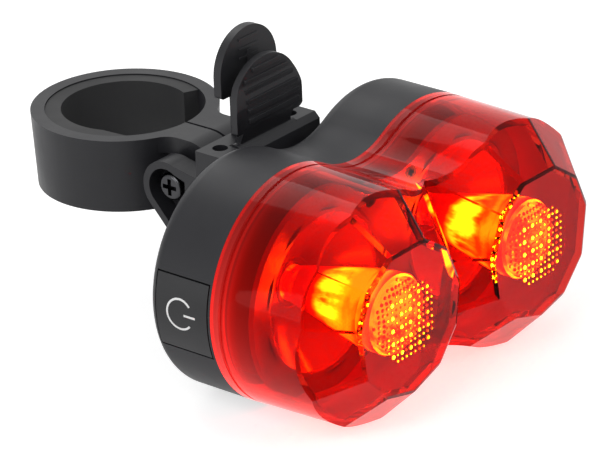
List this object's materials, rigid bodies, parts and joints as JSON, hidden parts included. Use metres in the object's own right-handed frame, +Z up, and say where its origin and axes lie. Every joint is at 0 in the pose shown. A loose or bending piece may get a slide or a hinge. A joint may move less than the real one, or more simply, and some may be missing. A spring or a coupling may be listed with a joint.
{
  "type": "bike rear light",
  "caption": "Twin-lobe red rear light with a faceted lens on a tilting quick-release seat-post bracket with a rubber-lined C clamp",
  "frame": {"origin": "centre of the seat-post clamp's bore, at the middle of the band's height", "axes": "+Z up along the seat post, -Y the way the light shines, X along the two lobes"},
  "size_m": [0.087, 0.1051, 0.0623],
  "materials": {
    "bracket_plastic": "fine satin mould texture",
    "finger_plastic": "fine satin mould texture with ribs",
    "housing_plastic": "soft matte mould texture",
    "shim_rubber": "matte rubber",
    "button_rubber": "satin rubber with a printed power symbol",
    "gasket_rubber": "matte rubber",
    "plated_steel": "dark oxide plate",
    "switch_plastic": "plain moulded",
    "board_laminate": "green solder mask",
    "wire_sleeve": "soft sleeve",
    "red_polycarbonate": "clear deep red, polished",
    "pipe_polycarbonate": "clear, polished, stippled front",
    "bright_reflector": "vacuum metallised",
    "led_resin": "clear resin on a white body",
    "cell_sleeve": "plain printed sleeve",
    "tray_plastic": "plain moulded",
    "spring_metal": "nickel plate"
  },
  "bodies": {
    "clamp": {"clamp_band": "bracket_plastic", "rubber_shim": "shim_rubber"},
    "cradle": {"cradle": "bracket_plastic", "clamp_screw": "plated_steel", "clamp_washer": "plated_steel", "clamp_nut": "plated_steel"},
    "lever": {"release_lever": "finger_plastic"},
    "light": {"housing": "housing_plastic", "switch_body": "switch_plastic", "switch_board": "board_laminate", "lead_wires": "wire_sleeve", "lens_gasket": "gasket_rubber", "reflector": "bright_reflector", "light_pipe_near": "pipe_polycarbonate", "light_pipe_far": "pipe_polycarbonate", "main_board": "board_laminate", "led_near": "led_resin", "led_far": "led_resin", "board_screws": "plated_steel", "battery_lower": "cell_sleeve", "battery_upper": "cell_sleeve", "battery_tray": "tray_plastic", "contact_plates": "spring_metal", "battery_springs": "spring_metal", "rear_clip": "bracket_plastic", "clip_screws": "plated_steel"},
    "lens": {"lens": "red_polycarbonate"},
    "button": {"power_button": "button_rubber"},
    "plunger": {"switch_plunger": "switch_plastic"}
  },
  "joints": [
    {"name": "tilt", "type": "hinge", "parent": "clamp", "child": "cradle", "pos_m": [0, -0.0223, 0], "axis": [1, 0, 0], "range_deg": [-30, 30]},
    {"name": "lever_flex", "type": "hinge", "parent": "cradle", "child": "lever", "pos_m": [0, -0.0354, 0.009], "axis": [-1, 0, 0], "range_deg": [0, 6], "stiffness_Nm_per_rad": 0.3},
    {"name": "light_slide", "type": "slide", "parent": "cradle", "child": "light", "axis": [0, 0, 1], "range_m": [0, 0.026]},
    {"name": "lens_pull", "type": "slide", "parent": "light", "child": "lens", "axis": [0, -1, 0], "range_m": [0, 0.03]},
    {"name": "button_press", "type": "slide", "parent": "light", "child": "button", "axis": [1, 0, 0], "range_m": [0, 0.0003], "stiffness_N_per_m": 400},
    {"name": "switch_travel", "type": "slide", "parent": "light", "child": "plunger", "axis": [1, 0, 0], "range_m": [0, 0.0003], "stiffness_N_per_m": 50}
  ],
  "couplings": [
    {"joint": "switch_travel", "follows": "button_press", "ratio": 1}
  ]
}
